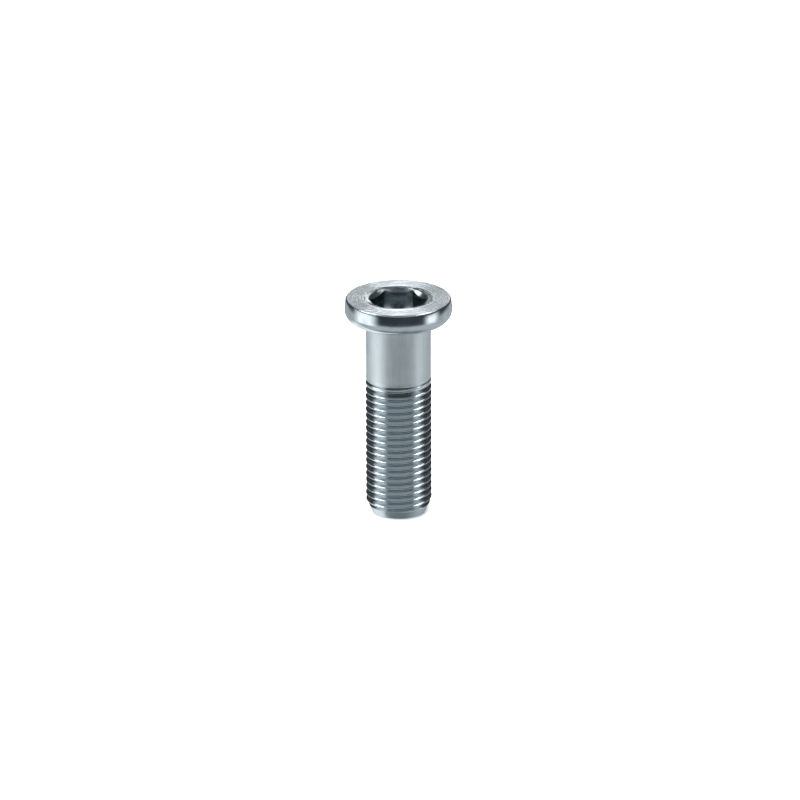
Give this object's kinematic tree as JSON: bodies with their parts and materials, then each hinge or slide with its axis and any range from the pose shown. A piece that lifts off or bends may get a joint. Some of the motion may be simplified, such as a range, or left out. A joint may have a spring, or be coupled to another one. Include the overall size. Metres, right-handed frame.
{
  "type": "levelling foot screw",
  "caption": "Flat round-head screw with a hex socket, a plain shank and a fine thread with a chamfered end, used as a levelling foot.",
  "frame": {"origin": "centre of the flat face at the thread end, on which the screw stands", "axes": "+Z along the screw's axis towards the head, +X through two opposite corners of the hex socket"},
  "size_m": [0.0195, 0.0194, 0.0412],
  "materials": {
    "zinc_plated_steel": "bright zinc plate, satin on the shank and polished on the rim of the head"
  },
  "bodies": {
    "root": {"foot_screw": "zinc_plated_steel"}
  },
  "joints": []
}
